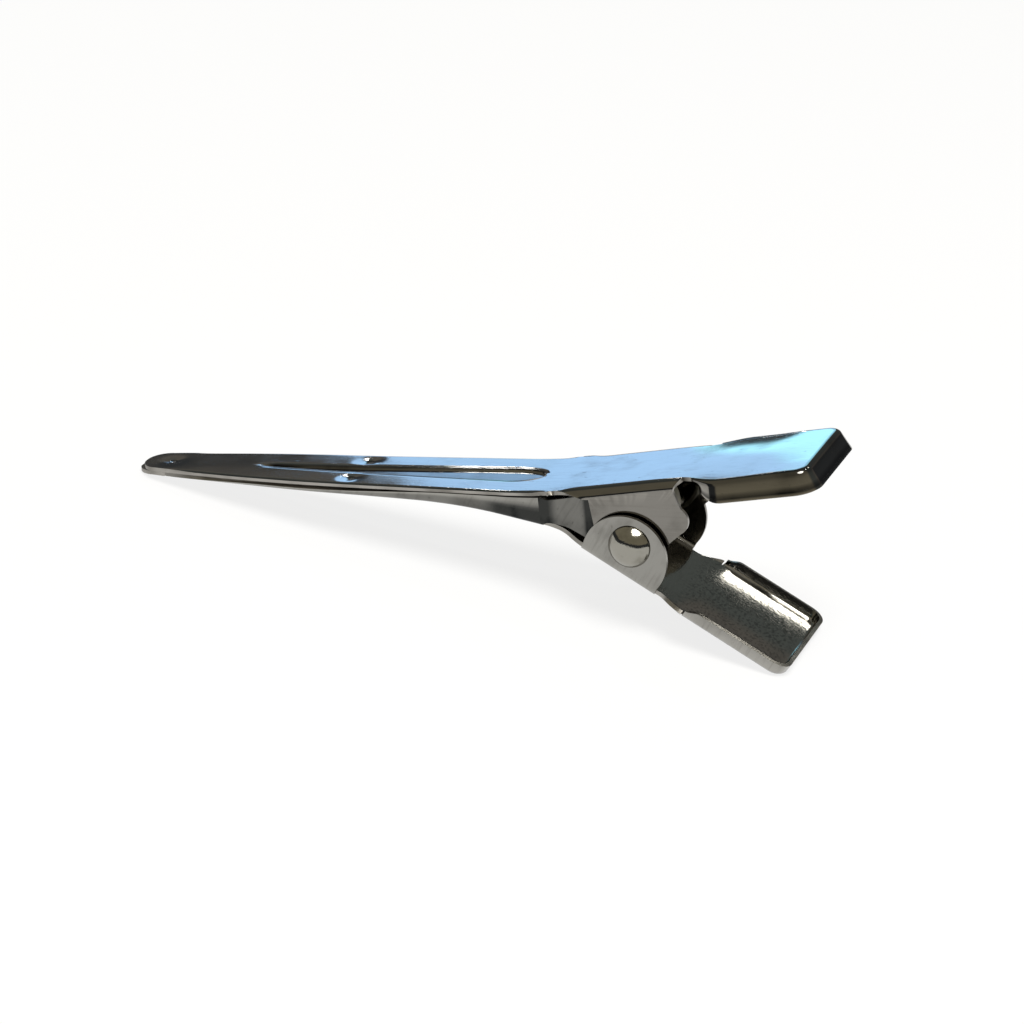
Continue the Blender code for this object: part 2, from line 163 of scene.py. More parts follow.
def ramp(value, start, end):
    """Smooth rise from 0 at start to 1 at end."""
    share = min(max((value - start) / (end - start), 0.0), 1.0)
    return share * share * (3 - 2 * share)


def steps(marks, pitch):
    """Values that pass through every mark and lie no further apart than the pitch."""
    values = [marks[0]]
    for start, end in zip(marks, marks[1:]):
        count = max(1, math.ceil(abs(end - start) / pitch))
        values += [start + (end - start) * step / count for step in range(1, count)] + [end]
    return values


def spread(start, end, count):
    """Evenly spaced values from start to end, both included."""
    return [start + (end - start) * step / count for step in range(count)] + [end]


def graded(marks, counts):
    """Values that pass through every mark, with a count of even steps between each two."""
    values = [marks[0]]
    for start, end, count in zip(marks, marks[1:], counts):
        values += spread(start, end, count)[1:]
    return values


def between(stops, share):
    """Value at a share of the way along a list of (share, value) stops."""
    for (start, low), (end, high) in zip(stops, stops[1:]):
        if share <= end:
            return low + (high - low) * (share - start) / (end - start)
    return stops[-1][1]


def pointing(angle):
    return Vector((math.cos(angle), math.sin(angle)))


def make_path(corners, radii):
    """Runs of (start, heading, curvature, length) through the corners, with each inner corner rounded."""
    pieces = []
    start = corners[0]
    for before, corner, after, radius in zip(corners, corners[1:], corners[2:], radii):
        arrive = math.atan2(corner.y - before.y, corner.x - before.x)
        leave = math.atan2(after.y - corner.y, after.x - corner.x)
        turn = leave - arrive
        trim = radius * math.tan(abs(turn) / 2)
        arc_start = corner - trim * pointing(arrive)
        pieces.append((start, arrive, 0.0, (arc_start - start).length))
        pieces.append((arc_start, arrive, math.copysign(1 / radius, turn), radius * abs(turn)))
        start = corner + trim * pointing(leave)
    run = corners[-1] - start
    pieces.append((start, math.atan2(run.y, run.x), 0.0, run.length))
    return pieces


def path_length(path):
    return sum(piece[3] for piece in path)


def path_at(path, distance):
    """Point and heading at a distance along a path, which runs on straight past both ends."""
    for piece in path[:-1]:
        if distance <= piece[3]:
            break
        distance -= piece[3]
    else:
        piece = path[-1]
    start, heading, curvature, _ = piece
    turned = heading + curvature * distance
    if curvature == 0.0:
        return start + distance * pointing(heading), heading
    swing = Vector((math.sin(turned) - math.sin(heading), math.cos(heading) - math.cos(turned)))
    return start + swing / curvature, turned


def folded(arcs, depth, shades):
    """Section of a fold: (out, in, painted darkness) points on arcs of (radius, angle), then a flange to a
    depth.
    """
    points = [Vector((0.0, 0.0))]
    turned = 0.0
    for radius, angle in arcs:
        start = points[-1]
        for step in spread(0.0, angle, BEND_STEPS)[1:]:
            reached = turned + step
            swing = Vector((math.sin(reached) - math.sin(turned), math.cos(turned) - math.cos(reached)))
            points.append(start + swing * radius)
        turned += angle
    if depth is not None:
        bend = points[-1]
        flange = pointing(turned) * (depth - bend.y) / math.sin(turned)
        points += [bend + flange * share for share in spread(0.0, 1.0, FLANGE_STEPS)[1:]]
    last = len(points) - 1
    return [(point.x, point.y, between(shades, step / last)) for step, point in enumerate(points)]


def tray_corner(along, edge):
    """Stations of (along, half-width) around the rounded rear corner of a tray's plate."""
    turns = [pointing(towards) * TRAY_CORNER for towards in spread(QUARTER_TURN, 0.0, CORNER_STEPS)[1:]]
    return [(along + turn.x, edge - TRAY_CORNER + turn.y) for turn in turns]


def put(name, data):
    """New object in the scene, at the origin."""
    made = bpy.data.objects.new(name, data)
    bpy.context.collection.objects.link(made)
    return made


def round_edges(piece, width, segments, sharp, harden):
    """Small rounds on all edges of a piece that turn through more than the sharp angle."""
    rounding = piece.modifiers.new("edges", "BEVEL")
    rounding.width = width
    rounding.segments = segments
    rounding.limit_method = "ANGLE"
    rounding.angle_limit = sharp
    rounding.harden_normals = harden


class Pressing:
    """Half of a folded sheet's outer face, on the -Y side, which is then mirrored and given its thickness.

    Each vertex keeps a darkness painted into the plating's colour: painted shade and painted reflections in
    the bends, the groove, along the edges and on some faces.
    """

    def __init__(self, path, start, inward, crown_at):
        self.mesh = bmesh.new()
        self.dark = self.mesh.verts.layers.float.new("painted_shade_bands")
        self.path = path
        self.start = start
        self.inward = inward
        self.crown_at = crown_at

    def spot(self, x, side, z, dark):
        vertex = self.mesh.verts.new((x, -side, z))
        vertex[self.dark] = dark
        return vertex

    def point(self, along, side, depth, dark):
        """Vertex at a distance behind the pivot, out to the side and in from the outer face."""
        place, heading = path_at(self.path, along - self.start)
        inward = pointing(heading + self.inward * QUARTER_TURN)
        return self.spot(place.x + inward.x * depth, side, place.y + inward.y * depth, dark)

    def fold(self, along, edge, section, towards=QUARTER_TURN, skew=0.0):
        """Row of vertices from the edge of a plate, which may be crowned, around a fold to its free edge."""
        row = []
        last = len(section) - 1
        for step, (out, depth, dark) in enumerate(section):
            shift = skew * math.sin(QUARTER_TURN * min(depth / EAR_BEND, 1.0))
            sag = self.crown_at(along) * edge * edge * (1 - step / last)
            row.append(self.point(along + shift + out * math.cos(towards), edge + out * math.sin(towards),
                                  depth + sag, dark))
        return row

    def skin(self, rows):
        """Faces between rows of vertices of the same length."""
        for row, following in zip(rows, rows[1:]):
            for corners in zip(row, row[1:], following[1:], following):
                self.mesh.faces.new(corners)

    def tray_rim(self, stations, end_sides, half, section_at, skew):
        """Rim along the side, around the rear corner and across the rear end of a finger tray."""
        rows = []
        for along in stations:
            section = section_at(along)
            edge = half(along) - section[-1][0]
            eased = max(1 - (along - stations[0]) / NOTCH_EASE, 0.0)
            rows.append(self.fold(along, edge, section, skew=skew * eased ** 2))
        turns = spread(QUARTER_TURN, 0.0, CORNER_STEPS)[1:]
        for (corner, side), towards in zip(tray_corner(along, edge), turns):
            rows.append(self.fold(corner, side, section, towards))
        for side in end_sides:
            rows.append(self.fold(corner, side, section, 0.0))
        self.skin(rows)

    def pierced_flap(self, outline, side, drop, dark):
        """Flat flap between an outline of (along, above the pivot) and the pin hole."""
        rings = [[] for _ in range(FLAP_RINGS + 1)]
        for along, above in outline:
            shrink = PIN_HOLE / math.hypot(along, above)
            for step, ring in enumerate(rings):
                scale = 1 + (shrink - 1) * step / FLAP_RINGS
                ring.append(self.point(along * scale, side, drop + self.inward * above * scale, dark))
        self.skin([ring + ring[:1] for ring in rings])

    def finish(self, name, plate, cut_edge):
        """Whole sheet in its place, with its thickness and softly rounded cut edges."""
        mesh = self.mesh
        everything = mesh.verts[:] + mesh.edges[:] + mesh.faces[:]
        bmesh.ops.mirror(mesh, geom=everything, axis="Y", merge_dist=JOIN_DISTANCE)
        bmesh.ops.remove_doubles(mesh, verts=mesh.verts, dist=JOIN_DISTANCE)
        bmesh.ops.recalc_face_normals(mesh, faces=mesh.faces)
        mesh.normal_update()
        widest = max(mesh.faces, key=lambda face: face.calc_area() * abs(face.normal.z))
        if widest.normal.z * self.inward > 0:
            bmesh.ops.reverse_faces(mesh, faces=mesh.faces)
        for face in mesh.faces:
            face.smooth = True
        mesh.transform(stand)
        data = bpy.data.meshes.new(name)
        mesh.to_mesh(data)
        mesh.free()
        data.materials.append(plate)
        data.materials.append(cut_edge)
        piece = put(name, data)
        thickness = piece.modifiers.new("sheet", "SOLIDIFY")
        thickness.thickness = SHEET
        thickness.offset = -1.0
        thickness.use_even_offset = True
        thickness.material_offset_rim = 1
        round_edges(piece, EDGE_ROUND, EDGE_SEGMENTS, SHARP_EDGE, True)
        return piece


class Wire:
    """One output in a node tree. Sums, differences, products and quotients of wires add their Math nodes."""

    def __init__(self, tree, socket=None):
        self.tree = tree
        self.socket = socket

    def node(self, kind, settings, inputs, output=0):
        """Add a node, set it up, feed its sockets and give one of its outputs."""
        made = self.tree.nodes.new(kind)
        for name, value in settings.items():
            setattr(made, name, value)
        for name, value in inputs.items():
            if isinstance(value, Wire):
                self.tree.links.new(value.socket, made.inputs[name])
            else:
                made.inputs[name].default_value = value
        return Wire(self.tree, made.outputs[output])

    def maths(self, operation, first, second=0.0):
        return self.node("ShaderNodeMath", {"operation": operation}, {0: first, 1: second})

    def __add__(self, other):
        return self.maths("ADD", self, other)

    def __radd__(self, other):
        return self.maths("ADD", other, self)

    def __sub__(self, other):
        return self.maths("SUBTRACT", self, other)

    def __rsub__(self, other):
        return self.maths("SUBTRACT", other, self)

    def __mul__(self, other):
        return self.maths("MULTIPLY", self, other)

    def __rmul__(self, other):
        return self.maths("MULTIPLY", other, self)

    def __truediv__(self, other):
        return self.maths("DIVIDE", self, other)

    def rise(self, start, end):
        """Smooth mask: 0 where the value is at start, 1 where it is at end."""
        settings = {"interpolation_type": "SMOOTHSTEP"}
        return self.node("ShaderNodeMapRange", settings, {"Value": self, "From Min": start, "From Max": end})

    def blend(self, below, above):
        """Colour that goes from one to another as this value goes from 0 to 1."""
        return self.node("ShaderNodeMix", {"data_type": "RGBA"}, {0: self, 6: below, 7: above}, 2)

    def noise(self, detail):
        """Noise of size 1 over a vector."""
        return self.node("ShaderNodeTexNoise", {}, {"Vector": self, "Scale": 1.0, "Detail": detail})

    def axis(self, name):
        """One of the X, Y and Z parts of a vector."""
        return self.node("ShaderNodeSeparateXYZ", {}, {"Vector": self}, name)

    def into(self, socket):
        self.tree.links.new(self.socket, socket)

    def bump(self, shader):
        """Use this value, in metres, as the fine height of a shader's face."""
        raised = self.node("ShaderNodeBump", {}, {"Strength": 1.0, "Distance": 1.0, "Height": self})
        raised.into(shader.inputs["Normal"])


def start_metal(name):
    """New material of bare metal: the material, its shader and the object's own coordinates."""
    material = bpy.data.materials.new(name)
    material.use_nodes = True
    shader = material.node_tree.nodes["Principled BSDF"]
    shader.inputs["Metallic"].default_value = 1.0
    place = Wire(material.node_tree).node("ShaderNodeTexCoord", {}, {}, "Object")
    return material, shader, place


def along_sheet(place, heading, grain):
    """Coordinates turned to a lever's own length and stretched so that noise on them has a grain's size."""
    turned = place.node("ShaderNodeMapping", {}, {"Vector": place, "Rotation": (0.0, heading, 0.0)})
    return turned.node("ShaderNodeMapping", {}, {"Vector": turned, "Scale": grain})


# Grains of the noise on the metal: its waves per metre along, across and through a lever.
SMUDGES = (330.0, 330.0, 330.0)
ROLLING_MARKS = (140.0, 5200.0, 5200.0)
PRESS_WAVES = (190.0, 260.0, 260.0)
PITS = (2600.0, 2600.0, 2600.0)
ORANGE_PEEL = (3600.0, 3600.0, 3600.0)
EDGE_SCORES = (6000.0, 6000.0, 900.0)

# Parts that smudges, pits, marks and the painted shade play in the colour, roughness and height of the
# nickel.
SMUDGED = (0.46, 0.72)
PITTED = (0.68, 0.78)
MARKED = (0.48, 0.75)
SMUDGE_WEAR = 0.35
PIT_WEAR = 0.50
MARK_WEAR = 0.30
SMUDGE_ROUGH = 0.06
PIT_ROUGH = 0.10
MARK_ROUGH = 0.05
BEND_ROUGH = 0.25
DARKEST_BENDS = (0.8, 1.0)
# Painted shade: how much of the vertices' darkness reaches the colour, and the extra where it is smudged.
BEND_DARK = 0.93
SMUDGED_BEND_DARK = 0.2
MARK_HEIGHT = 0.0000008
PIT_DEPTH = 0.0000015
# Dark colour that the painted shade and painted reflections blend the nickel towards.
PAINTED_SHADE_COLOUR = (0.016, 0.018, 0.018, 1.0)

CUT_EDGE_PATCHED = (0.35, 0.70)
CUT_EDGE_BRIGHT = (0.38, 0.365, 0.335, 1.0)
CUT_EDGE_DULL = (0.20, 0.19, 0.17, 1.0)
CUT_EDGE_ROUGH = 0.26
SCORE_ROUGH = 0.2
SCORE_HEIGHT = 0.000004


def nickel_plate(name, heading, bright, dull, grain, polish, wave_height, peel_height, struck):
    """Nickel over pressed sheet: fine marks, smudges, pits, a slightly uneven face, and painted shade and
    painted reflections as a darker colour where the vertices are marked.
    """
    material, shader, place = start_metal(name)
    smudge = along_sheet(place, heading, SMUDGES).noise(detail=4.0).rise(*SMUDGED)
    marks = along_sheet(place, heading, grain).noise(detail=3.0)
    waves = along_sheet(place, heading, PRESS_WAVES).noise(detail=1.0)
    pits = along_sheet(place, heading, PITS).noise(detail=2.0).rise(*PITTED)
    peel = along_sheet(place, heading, ORANGE_PEEL).noise(detail=2.0)
    specks_and_painted_rings, struck_height = struck(place)
    worn = SMUDGE_WEAR * smudge + PIT_WEAR * pits + MARK_WEAR * marks.rise(*MARKED)
    plate = worn.blend((*bright, 1.0), (*dull, 1.0))
    # Painted shade and painted reflections from the vertices, with the painted punch rings on the upper lever
    # and the worn specks on the lower, darken the plating's colour.
    bends = place.node("ShaderNodeAttribute", {"attribute_name": "painted_shade_bands"}, {}, "Fac")
    dark = bends * (BEND_DARK + SMUDGED_BEND_DARK * smudge) + specks_and_painted_rings
    dark.blend(plate, PAINTED_SHADE_COLOUR).into(shader.inputs["Base Color"])
    rough = polish + SMUDGE_ROUGH * smudge + PIT_ROUGH * pits + MARK_ROUGH * marks
    rough = rough + BEND_ROUGH * bends.rise(*DARKEST_BENDS)
    rough.into(shader.inputs["Roughness"])
    height = wave_height * waves + peel_height * peel + MARK_HEIGHT * marks - PIT_DEPTH * pits + struck_height
    height.bump(shader)
    return material


def sheared_steel(name):
    """Cut edge of the sheet: thinly plated, with the upright scores that the punch leaves."""
    material, shader, place = start_metal(name)
    scores = along_sheet(place, 0.0, EDGE_SCORES).noise(detail=2.0)
    patches = along_sheet(place, 0.0, SMUDGES).noise(detail=2.0).rise(*CUT_EDGE_PATCHED)
    patches.blend(CUT_EDGE_BRIGHT, CUT_EDGE_DULL).into(shader.inputs["Base Color"])
    rough = CUT_EDGE_ROUGH + SCORE_ROUGH * scores
    rough.into(shader.inputs["Roughness"])
    height = SCORE_HEIGHT * scores
    height.bump(shader)
    return material


upper_back = pointing(UPPER_TILT)
upper_foot = pointing(UPPER_TILT + QUARTER_TURN) * UPPER_RISE
upper_bend = upper_foot - upper_back * UPPER_BEND_BACK
bow_corner = upper_bend - Vector((BOW_REACH, 0))
upper_tip = bow_corner - pointing(-BOW_ANGLE) * (BEAK_REACH - BOW_REACH)
upper_path = make_path(
    [upper_tip, bow_corner, upper_bend, upper_foot + upper_back * UPPER_TRAY_END],
    [BOW_RADIUS, UPPER_BEND_RADIUS],
)
upper_start = UPPER_TRAY_END - path_length(upper_path)


def upper_crown(along):
    """How strongly the upper plate is crowned across: most in the middle of the thumb tray."""
    swell = ramp(along, *SWELL_RISE) * (1 - ramp(along, *SWELL_FALL))
    return CROWN + (TRAY_CROWN - CROWN) * swell


upper = Pressing(upper_path, upper_start, -1, upper_crown)
nose_start = upper_start + TIP_ROUND


def beak_half(x):
    """Half-width of the beak: a straight taper that narrows faster over the nose."""
    nose = max(upper_tip.x + NOSE_LENGTH - x, 0.0) / NOSE_LENGTH
    return BEAK_HALF + BEAK_TAPER * (x - LIP_FRONT) - NOSE_NARROWING * nose * nose


def upper_half(along):
    """Half-width over the folds of the upper lever."""
    half = beak_half(path_at(upper_path, along - upper_start)[0].x)
    half += (EAR_HALF - half) * ramp(along, LIP_FRONT, EAR_FRONT)
    return half + (UPPER_TRAY_HALF - EAR_HALF) * ramp(along, NOTCH_FRONT, FLARE_REAR)


def lip_angle(along):
    """How far the edge of the upper plate is turned down: not at all on the beak, and square at the ears."""
    return QUARTER_TURN * ramp(along, LIP_FRONT, EAR_FRONT)


def groove_half(along):
    """Half-width of the groove, which widens along the beak and ends round."""
    width = GROOVE_HALF * min(max((along - GROOVE_FRONT) / (GROOVE_WIDEST - GROOVE_FRONT), 0.0), 1.0)
    past = min(max((along - GROOVE_WIDEST) / (GROOVE_REAR - GROOVE_WIDEST), 0.0), 1.0)
    return max(width * math.sqrt(1 - past * past), GROOVE_LEAST)


def struck_depth(along, side, lip, half):
    """How far the upper plate is crowned and struck down at a point, and its painted shade there: a dark line
    along the groove's lip, a darker groove floor and a darker rolled edge.
    """
    full = ramp(groove_half(along), GROOVE_LEAST, GROOVE_HALF * GROOVE_FADE_SHARE)
    into = ramp(lip - side, 0.0, lip * (1 - GROOVE_FLOOR_SHARE))
    depth = upper_crown(along) * side * side + GROOVE_DEPTH * full * into
    depth += GROOVE_DIP * full * ramp(lip + GROOVE_SHOULDER - side, 0.0, GROOVE_SHOULDER)
    rolled = max(side - half + EDGE_ROLL, 0.0) / EDGE_ROLL
    from_nose = ramp(along, nose_start, nose_start + ROLL_EASE_FRONT)
    rolled *= from_nose * (1 - ramp(along, LIP_FRONT - ROLL_EASE_REAR, LIP_FRONT))
    depth += EDGE_DROP * rolled * rolled
    for dimple_along, dimple_side, dish_depth, cup_depth in DIMPLES:
        away = math.hypot(along - dimple_along, side - dimple_side)
        dish = dish_depth * math.exp(-(away / DISH_RADIUS) ** 2)
        depth += dish + cup_depth * ramp(away, PUNCH_RADIUS, 0.0)
    line = DARK_GROOVE_LINE * math.exp(-((side - lip) / GROOVE_LINE) ** 2)
    return depth, max(line * full, DARK_GROOVE_FLOOR * into * full, DARK_ROLL * rolled)


def tip_rows(press, half):
    """Rounded front end of a jaw, as (along, half-width) stations."""
    shoulder = half(press.start + TIP_ROUND)
    return [(press.start + TIP_ROUND * (1 - math.cos(angle)), shoulder * math.sin(angle))
            for angle in spread(TIP_FIRST_ANGLE, QUARTER_TURN, TIP_STEPS)]


def plate_sides(along, half):
    """Distances from the middle of the upper plate to its edge, and the one that is the lip of the groove."""
    lip = min(groove_half(along), half * GROOVE_MOST_SHARE)
    floor = lip * GROOVE_FLOOR_SHARE
    roll = max(half - EDGE_ROLL, (lip + half) / 2)
    return graded([0.0, floor, lip, roll, half], PLATE_COLUMNS), lip


def rim_section(along):
    """Rim of the thumb tray, which leans outwards. Its front corner at the notch is cut short and round."""
    depth = UPPER_TRAY_DEPTH - RIM_RISE * (1 - ramp(along, NOTCH_REAR, RIM_FULL))
    return folded([UPPER_TRAY_ROLL, UPPER_TRAY_BEND], depth, DARK_RIM)


upper_flat_end = UPPER_TRAY_END - rim_section(FLARE_REAR)[-1][0] - TRAY_CORNER
beak_marks = [GROOVE_FRONT] + spread(GROOVE_WIDEST, GROOVE_REAR, GROOVE_END_ROWS)
for dimple_along, *_ in DIMPLES:
    dimple_edges = [dimple_along + reach for reach in (-DISH_REACH, -PUNCH_RADIUS, PUNCH_RADIUS, DISH_REACH)]
    beak_marks += graded(dimple_edges, DIMPLE_ROWS)
beak_marks = [nose_start] + sorted(mark for mark in beak_marks if mark > nose_start) + [LIP_FRONT]
lip = steps([LIP_FRONT, EAR_FRONT], PLATE_PITCH)
ear = steps([EAR_FRONT, NOTCH_FRONT], PLATE_PITCH)
upper_tray = steps([NOTCH_REAR, FLARE_REAR, upper_flat_end], PLATE_PITCH)

stations = tip_rows(upper, upper_half)
stations += [(along, upper_half(along)) for along in steps(beak_marks, PLATE_PITCH)[1:-1]]
stations += [(along, upper_half(along) - EAR_BEND * math.sin(lip_angle(along))) for along in lip + ear[1:]]
stations += [(along, upper_half(along) - rim_section(along)[-1][0]) for along in upper_tray]
stations += tray_corner(*stations[-1])
rows = []
for along, half in stations:
    sides, lip_side = plate_sides(along, half)
    rows.append([upper.point(along, side, *struck_depth(along, side, lip_side, half)) for side in sides])
upper.skin(rows)


def ear_skew(along):
    """How far the rear edge of the ear leans forward from the notch."""
    return -NOTCH_SPREAD * max(1 - (NOTCH_FRONT - along) / NOTCH_EASE, 0.0) ** 2


rows = []
for along in lip + ear[1:]:
    section = folded([(EAR_BEND, lip_angle(along))], None, DARK_EAR_BEND)
    rows.append(upper.fold(along, upper_half(along) - section[-1][0], section, skew=ear_skew(along)))
upper.skin(rows)

fold_line = UPPER_RISE - EAR_BEND
outline = [(along + ear_skew(along), fold_line) for along in reversed(ear)]
foot = [pointing(angle) * EAR_FOOT_RADIUS for angle in spread(*EAR_FOOT_ARC, EAR_FOOT_STEPS)]
lobe = [LOBE_CENTRE + pointing(angle) * LOBE_RADIUS for angle in spread(*LOBE_ARC, LOBE_STEPS)]
outline += [(EAR_FRONT, above) for above in spread(fold_line, EAR_SHIN, EAR_SHIN_STEPS)[1:]]
outline += spread(Vector((EAR_FRONT, EAR_SHIN)), foot[0], EAR_HEEL_STEPS)[1:-1] + foot
outline += spread(foot[-1], lobe[0], EAR_BACK_STEPS)[1:-1] + lobe
outline += spread(lobe[-1], Vector(outline[0]), EAR_BACK_STEPS)[1:-1]
upper.pierced_flap(outline, EAR_HALF, UPPER_RISE, DARK_EAR)

end_sides = plate_sides(*stations[-1])[0]
upper.tray_rim(upper_tray, end_sides[-2::-1], upper_half, rim_section, NOTCH_SPREAD)


def painted_punch_rings(place):
    """Painted dark rings around the cups of the punch, in place of their dark reflections, and no height,
    since the cups are in the mesh.
    """
    dark = 0.0
    for dimple_along, dimple_side, *_ in DIMPLES:
        spot = path_at(upper_path, dimple_along - upper_start)[0]
        for side in {dimple_side, -dimple_side}:
            centre = tuple(stand @ Vector((spot.x, side, spot.y)))
            ends = {0: place, 1: centre}
            away = place.node("ShaderNodeVectorMath", {"operation": "DISTANCE"}, ends, "Value")
            ring = away.rise(PUNCH_RING_INNER, PUNCH_RADIUS) * away.rise(PUNCH_RING_OUTER, PUNCH_RADIUS)
            dark = dark + DARK_PUNCH_RING * ring
    return dark, 0.0


upper_nickel = nickel_plate(
    "bright_nickel_plate", STAND_ANGLE, bright=(0.39, 0.37, 0.335), dull=(0.29, 0.27, 0.235),
    grain=ROLLING_MARKS, polish=0.05, wave_height=0.000018, peel_height=0.0000009, struck=painted_punch_rings,
)
cut_edge = sheared_steel("sheared_sheet_edge")
upper_lever = upper.finish("upper_lever_pressing", upper_nickel, cut_edge)
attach(upper_lever, "upper_body")
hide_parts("upper_lever")


# Lower lever: jaw floor with side walls, pivot flaps and the finger tray in one pressing of the same sheet.
# Its walls and flaps are folded up outside the ears of the upper lever, and its tray is left brushed inside.
# The rivet passes through both flaps and holds the two levers together.
JAW_GAP = 0.00012
JAW_COLUMNS = 14
EAR_GAP = 0.00031
SLIT = 0.00025
SLIT_EASE = SLIT * 3
WALL_INSET = 0.00012
NOSE_INSET = 0.0003
LOWER_DROOP = math.radians(32.5)
LOWER_DROP = 0.00256
KNEE_BACK = 0.00495
KNEE_RADIUS = 0.0030
CHIN_SLOPE = math.radians(11.2)
CHIN_LENGTH = 0.0089
CHIN_RADIUS = 0.045
TIP_OVERHANG = 0.0005
WALL_FRONT = -0.0400
WALL_START = -0.0300
WALL_FULL = -0.0150
WALL_REAR = -0.0068
WALL_BEND = 0.00046
LEAST_WALL = 0.00004
TAIL_REAR_X = -0.0026
TAIL_TUCK = 0.00045
TAIL_FOOT_SHARE = 0.7
TAIL_ROWS = 5
FLAP_RADIUS = 0.00337
FLAP_CENTRE = Vector((0.0001, -0.0011))
FLAP_BEND = 0.0007
FLAP_STEPS = 48
FLAP_HALF = EAR_HALF + EAR_GAP + SHEET
NECK_HALF = 0.0044
NECK_BEND = 0.00085
NECK_ANGLE = math.radians(50)
NECK_REAR = 0.0059
LOWER_TRAY_FRONT = 0.0060
LOWER_TRAY_HALF = 0.00555
LOWER_TRAY_BEND = (0.00055, math.radians(84))
LOWER_TRAY_DEPTH = 0.00108
FINGER_RIM_RISE = 0.00040
FINGER_RIM_FULL = LOWER_TRAY_FRONT + 0.0012
FINGER_RIM_SKEW = SLIT / 2
LOWER_TRAY_END = 0.01495
SEARCH_STEPS = 6

# Painted shade and painted reflections on the lower lever: how dark the walls are by distance behind the
# pivot, and the share of it by the way up a wall, which is lighter near the top as a painted highlight.
DARK_WALL = [(-0.040, 0.25), (-0.030, 0.35), (-0.020, 0.55), (-0.0128, 0.62), (-0.0112, 1.0), (-0.0066, 1.0),
             (-0.0060, 0.66), (-0.0041, 0.66), (-0.0038, 1.0), (0.0, 1.0)]
WALL_SHADES = [(0.0, 0.7), (0.3, 1.0), (0.75, 1.0), (0.9, 0.3), (1.0, 0.3)]
# Painted shade and painted reflections on the rims and neck edges, on the floor of the jaw and tray, and on
# the flaps.
DARK_TRAY_RIM = [(0.0, 0.1), (0.5, 0.1), (1.0, 0.25)]
DARK_LOWER_PLATE = 0.1
DARK_FLAP = 0.33

lower_back = pointing(-LOWER_DROOP)
lower_foot = -pointing(QUARTER_TURN - LOWER_DROOP) * LOWER_DROP
knee = lower_foot - lower_back * KNEE_BACK
chin = knee - pointing(-CHIN_SLOPE) * CHIN_LENGTH
lower_tip = upper_tip - Vector((TIP_OVERHANG, 2 * SHEET + JAW_GAP))
lower_path = make_path(
    [lower_tip, chin, knee, lower_foot + lower_back * LOWER_TRAY_END],
    [CHIN_RADIUS, KNEE_RADIUS],
)
lower_start = LOWER_TRAY_END - path_length(lower_path)


def lower_crown(along):
    """The lower plate is flat across, all along."""
    return 0.0


lower = Pressing(lower_path, lower_start, 1, lower_crown)


def path_over(path, x):
    """Point and heading where a path that never turns back passes x."""
    distance = x - path[0][0].x
    for _ in range(SEARCH_STEPS):
        place, heading = path_at(path, distance)
        distance += (x - place.x) / math.cos(heading)
    return path_at(path, distance)


def jaw_ceiling(x):
    """Height that the walls of the lower jaw reach under the upper plate at x."""
    return path_over(upper_path, x)[0].y - SHEET - JAW_GAP


def jaw_half(along):
    """Half-width over the walls of the lower jaw, a little less than the beak's."""
    x = path_at(lower_path, along - lower_start)[0].x
    nose = max(upper_tip.x + NOSE_LENGTH - x, 0.0) / NOSE_LENGTH
    return beak_half(x) - WALL_INSET - NOSE_INSET * min(nose, 1.0)


def wall_section(along):
    """Side wall of the jaw: a slight upturn of the edge that grows until it ends under the upper plate."""
    place, heading = path_at(lower_path, along - lower_start)
    room = (jaw_ceiling(place.x) - place.y) * math.cos(heading)
    height = LEAST_WALL + (SHEET - LEAST_WALL) * ramp(along, WALL_FRONT, WALL_START)
    height += (room - SHEET) * ramp(along, WALL_START, WALL_FULL)
    angle = math.acos(max(1 - height / (2 * WALL_BEND), 0.0))
    # Painted shade and painted reflections on the wall, by where it is along the lever and how far up.
    dark = between(DARK_WALL, place.x)
    return folded([(WALL_BEND, angle)], height, [(share, dark * part) for share, part in WALL_SHADES])


fold_above = FLAP_BEND - LOWER_DROP
chord = math.sqrt(FLAP_RADIUS ** 2 - (fold_above - FLAP_CENTRE.y) ** 2)
flap_front = FLAP_CENTRE.x - chord
flap_rear = FLAP_CENTRE.x + chord
flare_half = FLAP_HALF - FLAP_BEND
wall_half = jaw_half(WALL_REAR) - WALL_BEND
lower_reach = folded([LOWER_TRAY_BEND], LOWER_TRAY_DEPTH, DARK_TRAY_RIM)[-1][0]
lower_flat_end = LOWER_TRAY_END - lower_reach - TRAY_CORNER
walls = steps([WALL_FRONT, WALL_REAR], PLATE_PITCH)
flap = steps([flap_front, flap_rear], PLATE_PITCH)
neck = steps([flap_rear + SHEET, NECK_REAR], PLATE_PITCH)
lower_tray = steps([LOWER_TRAY_FRONT, lower_flat_end], PLATE_PITCH)


def neck_half(along):
    """Half-width over the upturned edges of the neck, which widens to the tray."""
    return NECK_HALF + (LOWER_TRAY_HALF - NECK_HALF) * ramp(along, neck[0], LOWER_TRAY_FRONT)


def neck_section(along):
    """Edge of the neck, which turns up more and more towards the tray."""
    return folded([(NECK_BEND, NECK_ANGLE * ramp(along, neck[0], NECK_REAR))], None, DARK_TRAY_RIM)


